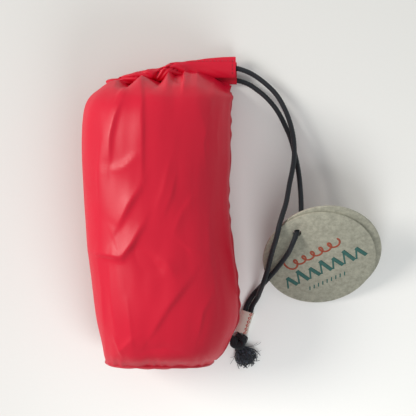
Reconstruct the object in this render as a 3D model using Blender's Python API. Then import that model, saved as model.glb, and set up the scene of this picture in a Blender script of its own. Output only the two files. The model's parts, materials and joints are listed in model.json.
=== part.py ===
"""A packed drawstring stuff sack, lying on its side on a table.

The sack is a nylon tube sewn along its right side, with an oval base panel at one end and a
drawcord channel round its gathered mouth at the other. It is filled by a rolled bundle. The drawcord
runs round the channel, and its two strands leave at the open right end of the channel, cross twice,
and go together through a ribbon sleeve into a knot with frayed ends. Two round board tags hang on one
strand by a hole near their rims.

Units are metres. +Z is up, +Y runs along the sack from its base to its mouth, and the origin is on
the table under the middle of the sack.
"""

import math

import bmesh
import bpy
from mathutils import Matrix, Vector

MM = 0.001

# Driving dimensions.
SACK_LENGTH = 0.205  # base rim to the far edge of the channel
SACK_WIDTH = 0.102  # widest, without the side seam
SACK_HEIGHT = 0.078  # table to the top of the filled sack
CLOTH = 0.0006  # wall of every cloth shell
ROLL_CLEARANCE = 0.0010  # cloth to the packed roll
ROLL_END_CLEARANCE = 0.0040  # the same at the roll's rounded ends
TOUCH = 0.0003  # gap between pieces that touch

CORD_DIAMETER = 0.0034
CORD_CLEARANCE = 0.0003  # cord to the inside of the channel
STRAND_GAP = 0.0003  # between the two strands inside the sleeve

CHANNEL_WIDTH = 0.0150  # the flat band at its open right end
CHANNEL_GATHERED_WIDTH = 0.0074  # the bunched band at its left turn
CHANNEL_LAYER_GAP = 0.0005  # between the front band and the back band
CHANNEL_TURN_RADIUS = 0.0055  # of the cord, at the left turn
PULL_LENGTH = 0.016  # of each strand inside the channel, which lets the drawcord pull out

SEAM_WIDTH = 0.0015
SEAM_THICKNESS = 0.0010

TAG_DIAMETER = 0.074
TAG_THICKNESS = 0.0016
TAG_GAP = 0.0006  # between the two tags
TAG_HOLE_DIAMETER = 0.0062
TAG_HOLE_FROM_CENTRE = 0.0264
TAG_TILT = math.radians(34.4)  # far edge raised, about the X axis
FRONT_TAG_TURN = math.radians(36.7)  # about the hole's axis, from hole uppermost
BACK_TAG_TURN = math.radians(47.5)

SLEEVE_LENGTH = 0.015
SLEEVE_WALL = 0.00045
SLEEVE_CLEARANCE = 0.0003

# The filled sack, from the base rim to the mouth. Each row is the left point's share of half the
# width and its place along the sack, the same for the right point, then the lowest and highest
# shares of the height. A lowest share under 0 is pressed flat by the table.
SACK_STATIONS = (
    (-0.706, -0.964, 0.655, -0.964, 0.085, 0.740),
    (-0.722, -0.905, 0.760, -0.905, 0.015, 0.870),
    (-0.743, -0.829, 0.853, -0.829, -0.020, 0.940),
    (-0.804, -0.688, 0.965, -0.688, -0.030, 0.985),
    (-0.845, -0.540, 0.975, -0.540, -0.030, 1.000),
    (-0.905, -0.300, 0.915, -0.300, -0.030, 1.000),
    (-0.935, -0.150, 0.875, -0.150, -0.030, 1.000),
    (-0.960, 0.050, 0.842, 0.050, -0.030, 1.000),
    (-0.990, 0.300, 0.858, 0.300, -0.030, 1.000),
    (-0.985, 0.520, 0.866, 0.520, -0.030, 0.985),
    (-0.955, 0.655, 0.868, 0.655, -0.020, 0.920),
    (-0.885, 0.722, 0.890, 0.728, 0.000, 0.760),
    (-0.800, 0.757, 0.893, 0.775, 0.012, 0.450),
    (-0.700, 0.770, 0.890, 0.806, 0.020, 0.175),
)
END_UNIT = 0.1025  # what a share of 1 stands for in the rounded ends, which keep their own length
END_SHARE = 0.6  # the ends lie beyond this share; the middle takes up any change of SACK_LENGTH
SECTION_POWER = 2.35  # roundness of a cross-section: 2 is an ellipse, more is squarer
SACK_SEGMENTS = 36
SACK_RINGS = 30
LAST_ROLL_RING = 0.80  # of the way along the stations
BASE_BULGE = 0.0031

# The front band of the channel, from its open end to the left turn: the share of half the width and
# the place along the sack of the band's middle, and how far it has gone from flat to bunched.
CHANNEL_STATIONS = (
    (0.952, 0.927, 0.00),
    (0.750, 0.927, 0.02),
    (0.485, 0.926, 0.06),
    (0.280, 0.921, 0.30),
    (0.080, 0.905, 0.66),
    (-0.090, 0.880, 0.90),
    (-0.280, 0.866, 1.00),
    (-0.450, 0.848, 1.00),
    (-0.585, 0.825, 1.00),
)
CHANNEL_TURN_RISE = 0.0015  # of the back band at the left turn
BACK_BAND_DROP = 0.0032  # the back band lies this much nearer the base
FRONT_CORD_ACROSS = -0.0003  # cord from the middle of the front band
BACK_CORD_ACROSS = -0.0045  # the same in the back band

# The free strands, in millimetres: X and Y from the open end of the channel, and Z above the table.
# The first point of each is in the channel's mouth and takes its height from the band.
FRONT_STRAND = (
    (7.7, -2.4, 8.8),
    (13.7, -5.7, 9.0),
    (20.4, -10.9, 9.6),
    (26.4, -17.0, 10.6),
    (30.9, -24.2, 12.2),
    (34.8, -33.5, 14.6),
    (37.4, -43.7, 17.6),
    (38.3, -53.9, 21.0),
    (37.8, -62.6, 24.2),
    (36.3, -70.6, 27.2),
    (34.4, -78.5, 30.2),
    (31.9, -90.3, 34.6),
    (29.1, -98.6, 38.0),
    (27.1, -105.0, 39.6),
    (25.3, -113.4, 37.6),
    (22.9, -123.2, 30.6),
    (20.5, -135.0, 22.6),
    (18.2, -142.9, 19.8),
    (16.2, -149.4, 13.0),
    (14.9, -154.0, 7.4),
)
BACK_STRAND = (
    (7.9, -9.7, 3.6),
    (13.9, -13.6, 4.6),
    (19.9, -19.2, 6.2),
    (25.2, -26.5, 8.4),
    (29.7, -34.5, 10.8),
    (33.8, -43.4, 13.6),
    (37.3, -53.0, 16.4),
    (39.8, -62.4, 19.4),
    (41.2, -71.8, 22.2),
    (42.0, -82.4, 25.0),
    (42.2, -91.5, 27.4),
    (41.7, -99.4, 29.6),
)
AFTER_HOLE = (
    (-3.0, -8.0, 1.6),
    (-5.5, -14.4, -3.7),
    (-11.9, -24.3, -10.8),
    (-16.0, -29.6, -14.4),
    (-19.6, -34.2, -18.6),
    (-23.0, -38.8, -25.4),
    (-26.4, -42.9, -29.0),
)
HOLE_FROM_EXIT = (38.9, -109.2, 33.5)  # the tags' hole, from the open end of the channel, in mm
HOLE_DIRECTION = (-0.14, -0.72, 0.68)  # of the strand as it goes up through both tags

SLEEVE_TOP_FROM_EXIT = (8.5, -164.3)  # where the sleeve starts, in mm
SLEEVE_DIRECTION = (0.309, 0.951)  # along the strands, towards the channel
SLEEVE_TRAVEL = 0.005  # straight strand above the sleeve
STRAND_BELOW_SLEEVE = 0.0007
KNOT_RADII = (0.0059, 0.0052, 0.0045)
FRAY_RADII = (0.0066, 0.0078, 0.0042)
FRAY_DIRECTION = (0.467, -0.885)  # from the knot to the middle of the frayed ends

CORD_SIDES = 2  # bevel resolution of the cords
CORD_SPACING = 2.0  # points along a cord, in diameters
ROUND_SEGMENTS = 20

HALF_WIDTH = SACK_WIDTH / 2
HALF_LENGTH = SACK_LENGTH / 2
BAND_THICKNESS = CORD_DIAMETER + 2 * (CORD_CLEARANCE + CLOTH)

COLOURS = {
    "red_nylon": (0.62, 0.02, 0.04, 0.42),
    "dark_red_nylon": (0.42, 0.012, 0.03, 0.5),
    "black_cord": (0.012, 0.014, 0.018, 0.75),
    "cream_ribbon": (0.75, 0.68, 0.60, 0.85),
    "grey_board": (0.36, 0.36, 0.31, 0.9),
    "striped_cloth": (0.70, 0.66, 0.60, 0.9),
}


def clear_scene():
    for obj in list(bpy.data.objects):
        bpy.data.objects.remove(obj, do_unlink=True)


def material(name):
    """A Principled material of the named colour, with its roughness as the fourth value."""
    found = bpy.data.materials.get(name)
    if found:
        return found
    red, green, blue, roughness = COLOURS[name]
    made = bpy.data.materials.new(name)
    made.use_nodes = True
    shader = made.node_tree.nodes["Principled BSDF"]
    shader.inputs["Base Color"].default_value = (red, green, blue, 1)
    shader.inputs["Roughness"].default_value = roughness
    shader.inputs["Metallic"].default_value = 0
    return made


def spline(points, t):
    """The value at t from 0 to 1 of a smooth curve through rows of numbers (Catmull-Rom)."""
    spans = len(points) - 1
    at = min(max(t, 0.0), 1.0) * spans
    i = min(int(at), spans - 1)
    u = at - i
    rows = [points[min(max(i + k, 0), spans)] for k in (-1, 0, 1, 2)]
    return tuple(
        0.5 * (2 * b + (c - a) * u + (2 * a - 5 * b + 4 * c - d) * u * u + (3 * b - a - 3 * c + d) * u**3)
        for a, b, c, d in zip(*rows)
    )


def new_object(name, bm, colour, smooth=True):
    mesh = bpy.data.meshes.new(name)
    bm.to_mesh(mesh)
    bm.free()
    if smooth:
        mesh.shade_smooth()
        mesh.set_sharp_from_angle(angle=math.radians(40))
    mesh.materials.append(material(colour))
    obj = bpy.data.objects.new(name, mesh)
    bpy.context.scene.collection.objects.link(obj)
    return obj


def ring(bm, points):
    """The edges of a closed loop through the points."""
    verts = [bm.verts.new(p) for p in points]
    return [bm.edges.new((a, b)) for a, b in zip(verts, verts[1:] + verts[:1])]


def loft(rings, closed=False):
    """A skin through loops of equally many points. closed joins the last loop to the first."""
    bm = bmesh.new()
    loops = [ring(bm, points) for points in rings]
    pairs = list(zip(loops, loops[1:]))
    if closed:
        pairs.append((loops[-1], loops[0]))
    for a, b in pairs:
        bmesh.ops.bridge_loops(bm, edges=a + b)
    return bm


def cap_ends(bm):
    bmesh.ops.holes_fill(bm, edges=bm.edges[:])
    bmesh.ops.recalc_face_normals(bm, faces=bm.faces[:])


def solidify(obj, thickness):
    shell = obj.modifiers.new("cloth", "SOLIDIFY")
    shell.thickness = thickness
    shell.offset = -1
    shell.use_even_offset = False


def signed_power(value, power):
    return math.copysign(abs(value) ** power, value)


def along_sack(share):
    """Place along the sack of a share from -1 at the base to 1 at the far edge of the channel."""
    if share > END_SHARE:
        return HALF_LENGTH - (1 - share) * END_UNIT
    if share < -END_SHARE:
        return (1 + share) * END_UNIT - HALF_LENGTH
    return share / END_SHARE * (HALF_LENGTH - (1 - END_SHARE) * END_UNIT)


def sack_section(t, inset=0.0):
    """Left point, right point, lowest and highest of the sack's cross-section at t, moved in by inset."""
    left_x, left_y, right_x, right_y, low, high = spline(SACK_STATIONS, t)
    left = Vector((left_x * HALF_WIDTH + inset, along_sack(left_y), 0))
    right = Vector((right_x * HALF_WIDTH - inset, along_sack(right_y), 0))
    return left, right, low * SACK_HEIGHT + inset, high * SACK_HEIGHT - inset


def sack_ring(t, inset=0.0, floor=0.0, scale=1.0, along=0.0):
    """Points round the sack at t. scale shrinks the ring about its middle, and along moves it."""
    left, right, low, high = sack_section(t, inset)
    middle = (left + right) / 2 + Vector((0, along, (low + high) / 2))
    across = (right - left) / 2
    up = Vector((0, 0, (high - low) / 2))
    points = []
    for k in range(SACK_SEGMENTS):
        angle = 2 * math.pi * k / SACK_SEGMENTS
        c = signed_power(math.cos(angle), 2 / SECTION_POWER) * scale
        s = signed_power(math.sin(angle), 2 / SECTION_POWER) * scale
        point = middle + across * c + up * s
        point.z = max(point.z, floor)
        points.append(point)
    return points


def build_sack_wall():
    rings = [sack_ring(k / SACK_RINGS) for k in range(SACK_RINGS + 1)]
    bm = loft(rings)
    bmesh.ops.recalc_face_normals(bm, faces=bm.faces[:])
    wall = new_object("sack_wall", bm, "red_nylon")
    solidify(wall, CLOTH)
    return wall


def build_base_panel():
    """An oval panel that bulges out past the rim of the wall."""
    shares = (1.0, 0.86, 0.66, 0.42, 0.16)
    rings = []
    for share in shares:
        bulge = BASE_BULGE * (1 - share * share)
        rings.append(sack_ring(0, scale=share, along=-(CLOTH + TOUCH + bulge)))
    bm = loft(rings)
    bmesh.ops.contextual_create(bm, geom=[e for e in bm.edges if inner_edge(e, rings[-1])])
    bmesh.ops.recalc_face_normals(bm, faces=bm.faces[:])
    if bm.faces[0].normal.y > 0:
        bmesh.ops.reverse_faces(bm, faces=bm.faces[:])
    panel = new_object("base_panel", bm, "red_nylon")
    solidify(panel, CLOTH)
    return panel


def inner_edge(edge, loop):
    """Whether an open edge lies on the loop."""
    near = min((edge.verts[0].co - p).length for p in loop)
    return edge.is_boundary and near < TOUCH / 10


def stadium(width, thickness, segments=8):
    """Points of a flat section with round ends, in (across, up) pairs."""
    radius = thickness / 2
    straight = width / 2 - radius
    points = []
    for side in (1, -1):
        for k in range(segments + 1):
            angle = math.pi * (k / segments - 0.5)
            points.append((side * (straight + radius * math.cos(angle)), side * radius * math.sin(angle)))
    return points


def frames(path, closed=False, across=Vector((0, 1, 0))):
    """(point, across, up) at each point of a path, with across kept as near the given way as it can be."""
    count = len(path)
    made = []
    for i, point in enumerate(path):
        if closed:
            tangent = path[(i + 1) % count] - path[i - 1]
        else:
            tangent = path[min(i + 1, count - 1)] - path[max(i - 1, 0)]
        tangent.normalize()
        side = (across - tangent * across.dot(tangent)).normalized()
        made.append((point, side, tangent.cross(side)))
    return made


def sweep(path, sections, closed=False, across=Vector((0, 1, 0))):
    """A skin along a path. sections holds the (across, up) points for each point of the path."""
    rings = [
        [point + side * a + up * b for a, b in section]
        for (point, side, up), section in zip(frames(path, closed, across), sections)
    ]
    return loft(rings, closed)


def band_height(share):
    """Height of the middle of the front and the back band, share of the way from open end to turn."""
    back = TOUCH + BAND_THICKNESS / 2 + CHANNEL_TURN_RISE * share
    apart = BAND_THICKNESS + CHANNEL_LAYER_GAP
    return back + apart + (2 * CHANNEL_TURN_RADIUS - apart) * share, back


def channel_path(front_across=0.0, back_across=0.0, start=0.0):
    """The hairpin down the middle of the channel, and the share gone from flat to bunched at each
    point. The across values move it within each band, and start trims both ends by that length."""
    steps = 12
    front, back = [], []
    for k in range(steps + 1):
        x, y, bunched = spline(CHANNEL_STATIONS, k / steps)
        high, low = band_height(bunched)
        keep = 1 - bunched
        place = Vector((x * HALF_WIDTH, along_sack(y), 0))
        front.append((place + Vector((0, front_across * keep, high)), bunched))
        back.append((place + Vector((0, (back_across - BACK_BAND_DROP) * keep, low)), bunched))
    open_end = front[0][0].x
    trim = [open_end - start]
    front = trimmed(front, trim[0])
    back = trimmed(back, trim[0])
    turn_top, turn_bottom = front[-1][0], back[-1][0]
    centre = (turn_top + turn_bottom) / 2
    turn = []
    for k in range(1, 8):
        angle = math.pi * k / 8
        offset = Vector((-math.sin(angle), 0, math.cos(angle))) * CHANNEL_TURN_RADIUS
        turn.append((centre + offset, 1.0))
    return front + turn + back[::-1]


def trimmed(run, most_x):
    """A run of the channel cut off square where X passes most_x."""
    kept = [row for row in run if row[0].x < most_x - TOUCH]
    after = len(run) - len(kept)
    if after == 0:
        return kept
    a, b = run[after - 1][0], run[after][0]
    share = (most_x - a.x) / (b.x - a.x)
    return [(a.lerp(b, share), run[after - 1][1])] + kept


def build_channel():
    path = channel_path()
    sections = []
    for _, bunched in path:
        width = CHANNEL_WIDTH + (CHANNEL_GATHERED_WIDTH - CHANNEL_WIDTH) * bunched
        sections.append(stadium(width, BAND_THICKNESS))
    bm = sweep([point for point, _ in path], sections)
    bmesh.ops.recalc_face_normals(bm, faces=bm.faces[:])
    channel = new_object("drawcord_channel", bm, "red_nylon")
    solidify(channel, CLOTH)
    return channel


def exit_point(front):
    """Where a strand leaves the open end of its band."""
    path = channel_path(FRONT_CORD_ACROSS, BACK_CORD_ACROSS)
    return path[0][0] if front else path[-1][0]


def exit_frame():
    """The point on the table that the free strands' routes are measured from."""
    front = exit_point(True)
    return Vector((front.x, front.y, 0))


def tube(name, points, colour):
    """A cord of round section along the points, with closed ends."""
    curve = bpy.data.curves.new(name, "CURVE")
    curve.dimensions = "3D"
    curve.bevel_depth = CORD_DIAMETER / 2
    curve.bevel_resolution = CORD_SIDES
    curve.use_fill_caps = True
    line = curve.splines.new("POLY")
    line.points.add(len(points) - 1)
    for target, point in zip(line.points, points):
        target.co = (*point, 1)
    curve.materials.append(material(colour))
    obj = bpy.data.objects.new(name, curve)
    bpy.context.scene.collection.objects.link(obj)
    return obj


def evenly(points, spacing, kept=()):
    """Points about spacing apart on a smooth curve through the given points. The curve's points
    whose numbers are in kept are among them."""
    fine_steps = 40
    spans = len(points) - 1
    fine = [Vector(spline(points, k / (fine_steps * spans))) for k in range(fine_steps * spans + 1)]
    lengths = [0.0]
    for a, b in zip(fine, fine[1:]):
        lengths.append(lengths[-1] + (b - a).length)
    breaks = [lengths[fine_steps * number] for number in (0, *kept, spans)]
    found, i = [fine[0]], 0
    for start, end in zip(breaks, breaks[1:]):
        count = max(1, round((end - start) / spacing))
        for k in range(1, count + 1):
            wanted = start + (end - start) * k / count
            while i < len(lengths) - 2 and lengths[i + 1] < wanted:
                i += 1
            share = (wanted - lengths[i]) / max(lengths[i + 1] - lengths[i], 1e-9)
            found.append(fine[i].lerp(fine[i + 1], share))
    return found


def build_cord_in_channel():
    path = channel_path(FRONT_CORD_ACROSS, BACK_CORD_ACROSS, PULL_LENGTH + TOUCH)
    return tube("cord_in_channel", [point for point, _ in path], "black_cord")


def sleeve_axis():
    """Top of the sleeve on the strands' middle line, and the way along it towards the channel."""
    origin = exit_frame()
    top = origin + Vector((SLEEVE_TOP_FROM_EXIT[0] * MM, SLEEVE_TOP_FROM_EXIT[1] * MM, 0))
    top.z = sleeve_size()[1] / 2
    return top, Vector((*SLEEVE_DIRECTION, 0)).normalized()


def sleeve_size():
    """Outer width and thickness of the ribbon sleeve, from the two strands inside it."""
    inner_width = 2 * CORD_DIAMETER + STRAND_GAP + 2 * SLEEVE_CLEARANCE
    inner_thickness = CORD_DIAMETER + 2 * SLEEVE_CLEARANCE
    return inner_width + 2 * SLEEVE_WALL, inner_thickness + 2 * SLEEVE_WALL


def sleeve_run(side):
    """The straight stretch of one strand through the sleeve, top to bottom. side is 1 for right."""
    top, way = sleeve_axis()
    right = Vector((way.y, -way.x, 0))
    offset = right * side * (CORD_DIAMETER + STRAND_GAP) / 2
    start = top + way * SLEEVE_TRAVEL + offset
    end = top - way * (SLEEVE_LENGTH + STRAND_BELOW_SLEEVE) + offset
    return [start.lerp(end, k / 4) for k in range(5)]


def tag_frame():
    """Hole centre between the two tags, their shared normal, and the direction uphill."""
    hole = exit_frame() + Vector(HOLE_FROM_EXIT) * MM
    normal = Vector((0, -math.sin(TAG_TILT), math.cos(TAG_TILT)))
    uphill = Vector((0, math.cos(TAG_TILT), math.sin(TAG_TILT)))
    return hole, normal, uphill


def strand_points(front):
    """The points that a strand's curve runs through, and the numbers of those at the tags' faces."""
    origin = exit_frame()
    leave = exit_point(front)
    inside = leave - Vector((PULL_LENGTH, 0, 0))
    points = [inside, inside.lerp(leave, 0.5), leave]
    route = FRONT_STRAND if front else BACK_STRAND
    points += [origin + Vector(p) * MM for p in route]
    kept = ()
    if not front:
        hole, _, _ = tag_frame()
        way = Vector(HOLE_DIRECTION).normalized()
        reach = TAG_THICKNESS + TAG_GAP
        kept = (len(points), len(points) + 2)
        points += [hole - way * reach, hole, hole + way * reach]
        points += [hole + Vector(p) * MM for p in AFTER_HOLE]
    return points + sleeve_run(1 if front else -1), kept


def build_strand(name, front):
    points, kept = strand_points(front)
    return tube(name, evenly(points, CORD_SPACING * CORD_DIAMETER, kept), "black_cord")


def build_sleeve():
    top, way = sleeve_axis()
    width, thickness = sleeve_size()
    path = [top - way * SLEEVE_LENGTH * k / 3 for k in range(4)]
    across = Vector((way.y, -way.x, 0))
    bm = sweep(path, [stadium(width, thickness)] * len(path), across=across)
    bmesh.ops.recalc_face_normals(bm, faces=bm.faces[:])
    sleeve = new_object("ribbon_sleeve", bm, "cream_ribbon")
    solidify(sleeve, SLEEVE_WALL)
    return sleeve


def knot_centre():
    top, way = sleeve_axis()
    reach = SLEEVE_LENGTH + STRAND_BELOW_SLEEVE + TOUCH + KNOT_RADII[1]
    centre = top - way * reach
    centre.z = KNOT_RADII[2]
    return centre


def fray_centre():
    way = Vector((*FRAY_DIRECTION, 0)).normalized()
    reach = TOUCH
    for radii in (KNOT_RADII, FRAY_RADII):
        reach += 1 / math.hypot(way.x / radii[0], way.y / radii[1])
    centre = knot_centre() + way * reach
    centre.z = FRAY_RADII[2]
    return centre


def build_lump(name, centre, radii):
    """A plain rounded solid that holds the space of a knot or a tuft."""
    bm = bmesh.new()
    bmesh.ops.create_icosphere(bm, subdivisions=3, radius=1)
    bmesh.ops.scale(bm, vec=radii, verts=bm.verts[:])
    bmesh.ops.translate(bm, vec=centre, verts=bm.verts[:])
    return new_object(name, bm, "black_cord")


def build_tag(name, turn, below):
    """A board disc with its origin on the hole's axis. below is the depth of its front face."""
    hole, normal, uphill = tag_frame()
    bm = bmesh.new()
    side = TAG_DIAMETER / 2
    bmesh.ops.create_cone(
        bm, cap_ends=True, segments=3 * ROUND_SEGMENTS, radius1=side, radius2=side, depth=TAG_THICKNESS
    )
    bmesh.ops.translate(bm, vec=(0, -TAG_HOLE_FROM_CENTRE, -TAG_THICKNESS / 2), verts=bm.verts[:])
    disc = new_object(name, bm, "grey_board")
    bm = bmesh.new()
    radius = TAG_HOLE_DIAMETER / 2
    bmesh.ops.create_cone(
        bm, cap_ends=True, segments=ROUND_SEGMENTS, radius1=radius, radius2=radius, depth=4 * TAG_THICKNESS
    )
    punch = new_object(name + "_punch", bm, "grey_board")
    punch.hide_render = True
    punch.display_type = "WIRE"
    cut = disc.modifiers.new("hole", "BOOLEAN")
    cut.operation = "DIFFERENCE"
    cut.object = punch
    right = uphill.cross(normal)
    turned = Matrix.Rotation(turn, 3, normal) @ Matrix((right, uphill, normal)).transposed()
    place = hole + normal * (TAG_GAP / 2 + TAG_THICKNESS - below)
    for obj in (disc, punch):
        obj.matrix_world = Matrix.Translation(place) @ turned.to_4x4()
    return disc


def build_tags():
    """Two discs that share the hole's axis. The hole's frame is midway between them."""
    build_tag("front_tag", FRONT_TAG_TURN, 0)
    build_tag("back_tag", BACK_TAG_TURN, TAG_THICKNESS + TAG_GAP)


def build_side_seam():
    """The sewn edge that stands out along the right side of the wall."""
    path = []
    steps = 26
    for k in range(steps + 1):
        t = 0.03 + 0.90 * k / steps
        _, right, low, high = sack_section(t)
        path.append(right + Vector((TOUCH + SEAM_WIDTH / 2, 0, (low + high) / 2)))
    sections = [stadium(SEAM_WIDTH, SEAM_THICKNESS, 4)] * len(path)
    bm = sweep(path, sections, across=Vector((1, 0, 0)))
    cap_ends(bm)
    return new_object("side_seam", bm, "dark_red_nylon")


def build_base_seam():
    """A bead round the join of the wall and the base panel."""
    outline = sack_ring(0, inset=-(TOUCH + SEAM_WIDTH / 2), floor=SEAM_WIDTH / 2, along=-CLOTH / 2)
    sections = [stadium(SEAM_WIDTH, SEAM_THICKNESS, 4)] * len(outline)
    bm = sweep(outline, sections, closed=True)
    bmesh.ops.recalc_face_normals(bm, faces=bm.faces[:])
    return new_object("base_seam", bm, "dark_red_nylon")


def build_packed_roll():
    """The bundle that fills the sack, with rounded ends."""
    inset = CLOTH + ROLL_CLEARANCE
    ends = ((0.012, 0.40), (0.030, 0.16), (0.060, 0.0))
    shares = [(t, extra) for t, extra in ends]
    shares += [(0.06 + (LAST_ROLL_RING - 0.12) * k / 14, 0.0) for k in range(1, 15)]
    shares += [(LAST_ROLL_RING - t + 0.012, extra) for t, extra in reversed(ends)]
    rings = []
    for t, extra in shares:
        rings.append(sack_ring(t, inset=inset + ROLL_END_CLEARANCE * extra * 4, floor=inset))
    bm = loft(rings)
    cap_ends(bm)
    return new_object("packed_roll", bm, "striped_cloth")


def main():
    clear_scene()
    build_packed_roll()
    build_sack_wall()
    build_base_panel()
    build_side_seam()
    build_base_seam()
    build_channel()
    build_cord_in_channel()
    build_strand("front_strand", True)
    build_strand("back_strand", False)
    build_sleeve()
    build_lump("cord_knot", knot_centre(), KNOT_RADII)
    build_lump("frayed_ends", fray_centre(), FRAY_RADII)
    build_tags()


main()
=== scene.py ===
"""A packed drawstring stuff sack with its drawcord, ribbon sleeve and hang tags."""

import json
import math
import random

import bpy
import numpy as np
from mathutils import Matrix, Vector, noise

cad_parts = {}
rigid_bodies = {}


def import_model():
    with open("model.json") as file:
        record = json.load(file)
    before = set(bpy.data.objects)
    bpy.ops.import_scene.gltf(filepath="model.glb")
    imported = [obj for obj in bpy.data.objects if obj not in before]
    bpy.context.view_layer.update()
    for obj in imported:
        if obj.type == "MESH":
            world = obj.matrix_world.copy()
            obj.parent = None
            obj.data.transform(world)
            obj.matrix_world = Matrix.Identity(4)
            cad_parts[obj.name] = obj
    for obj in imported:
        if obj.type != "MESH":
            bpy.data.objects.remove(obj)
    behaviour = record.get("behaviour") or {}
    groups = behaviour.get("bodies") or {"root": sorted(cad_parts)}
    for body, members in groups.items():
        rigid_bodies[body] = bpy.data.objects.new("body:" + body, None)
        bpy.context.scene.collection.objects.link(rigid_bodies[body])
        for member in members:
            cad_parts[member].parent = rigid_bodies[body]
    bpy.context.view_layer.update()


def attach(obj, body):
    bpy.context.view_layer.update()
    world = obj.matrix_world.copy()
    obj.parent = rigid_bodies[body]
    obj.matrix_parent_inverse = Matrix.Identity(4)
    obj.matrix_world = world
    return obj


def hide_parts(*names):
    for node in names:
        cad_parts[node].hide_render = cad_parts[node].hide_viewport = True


bl_info = {
    "name": "Drawstring Stuff Sack",
    "version": (1, 0, 0),
    "blender": (4, 5, 0),
    "location": "3D View > Sidebar > Stuff Sack",
    "description": "Builds a packed nylon stuff sack with its drawcord and tags",
    "category": "Add Mesh",
}

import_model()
MM = 0.001
WAVE_SCALE = 0.314159  # the scale of a wave texture with one crest for each metre

# ---- shapes, in millimetres

# Flat sizes of the sheets, in metres.
SACK_FLAT = (0.292, 0.236)
RIBBON_TURN = 0.024

# Rings of the filled sack from the base rim to the mouth: left x and y, right x and y, lowest and
# highest z. The table cuts off what would lie below 0.
SACK_ROWS = (
    (-36.0, -98.8, 33.4, -98.8, 6.6, 57.7),
    (-36.8, -92.8, 38.8, -92.8, 1.2, 67.9),
    (-37.9, -85.0, 43.5, -85.0, -1.6, 73.3),
    (-41.0, -70.5, 49.2, -70.5, -2.3, 76.8),
    (-43.1, -55.4, 49.7, -55.4, -2.3, 78.0),
    (-46.2, -30.8, 46.7, -30.8, -2.3, 78.0),
    (-47.7, -15.4, 44.6, -15.4, -2.3, 78.0),
    (-49.0, 5.1, 42.9, 5.1, -2.3, 78.0),
    (-50.5, 30.8, 43.8, 30.8, -2.3, 78.0),
    (-50.2, 53.3, 44.2, 53.3, -2.3, 77.2),
    (-48.7, 66.0, 44.3, 66.0, -1.6, 73.5),
    (-45.3, 73.6, 45.8, 73.0, 0.0, 64.0),
    (-41.4, 77.8, 45.0, 78.6, 1.0, 46.0),
    (-38.0, 80.2, 44.6, 83.2, 2.0, 26.0),
    (-35.0, 82.6, 45.6, 87.4, 3.0, 10.0),
)
# How square a ring of the sack is: 2 is an ellipse.
SECTION_POWER = 2.35
# Plan of the front edge of the filled end, where pleats run up into the channel.
END_PLEATS = (
    (-52.0, 76.0), (-42.0, 80.5), (-33.5, 84.4), (-29.0, 84.6), (-24.0, 81.0), (-20.6, 79.0),
    (-12.6, 86.4), (-7.1, 83.5), (-1.4, 80.3), (1.2, 83.2), (4.4, 88.0), (7.9, 84.8), (13.4, 85.1),
    (14.6, 88.1), (19.1, 87.0), (23.0, 87.2), (30.0, 84.0), (34.5, 81.9), (40.9, 77.4), (45.4, 76.2),
    (52.0, 75.0),
)
END_PLEAT_MEAN = 80.5
# The share of extra columns of faces that the top of the sack gets, taken from its underside.
TOP_SHARE = 0.4
# How far the base rim is drawn in, across the sack.
BASE_SWEEP = (
    (-42, 0.6), (-36, 0.6), (-30.4, 0.1), (-24, 0.0), (-14.7, 0.6), (-4.6, 0.5), (5.5, 0.6), (11.8, 0.8),
    (16.8, 0.4), (23, 0.0), (29.7, 0.0), (33.1, 0.4), (36, 0.6), (42, 0.6),
)

# Middle of the front band of the channel, from the open end to the left turn: x, y, z of the front
# band, z of the back band, and how far it is bunched.
CHANNEL_ROWS = (
    (48.6, 95.5, 8.6, 2.9, 0.00),
    (38.2, 95.4, 8.6, 2.9, 0.02),
    (24.7, 94.9, 9.0, 3.0, 0.06),
    (14.3, 94.4, 10.6, 3.4, 0.30),
    (4.1, 92.8, 13.1, 3.9, 0.66),
    (-4.6, 90.2, 14.8, 4.3, 0.90),
    (-14.3, 88.8, 15.4, 4.4, 1.00),
    (-23.0, 86.9, 15.4, 4.4, 1.00),
    (-29.8, 84.6, 15.4, 4.4, 1.00),
)

BUNCHED_BAND = 10.5  # the band's width where it is fully bunched
BACK_DROP = 3.5  # how much further down the back band lies at the open end
FOLD_SHARE = 0.46  # the share of the channel's length in each band; the left turn is the rest
# Folds across the gathered front band: x, depth, half width, and how far they lean with the band.
CHANNEL_FOLDS = (
    (-27.0, 1.0, 1.6, -2.0), (-19.0, 1.5, 1.8, -3.0), (-10.5, 1.4, 1.5, -1.0), (-3.2, 2.2, 1.5, 0.5),
    (2.0, 0.9, 1.2, 1.0), (7.2, 2.1, 1.4, -1.8), (13.5, 0.8, 1.6, -1.5), (19.5, 0.4, 1.8, -1.5),
    (26.0, 0.25, 2.0, -2.5),
)
# How far the front band's edge away from the base lies beyond its mean line, across the sack.
CHANNEL_EDGE = (
    (-36, 0.0), (-27, 0.0), (-20, -1.0), (-14.5, -2.2), (-10, -1.6), (-2.5, -3.2), (0, -2.8), (5, -1.2),
    (12, -2.3), (22, -2.0), (30, -1.2), (40, -0.7), (50, -0.5),
)

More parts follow.
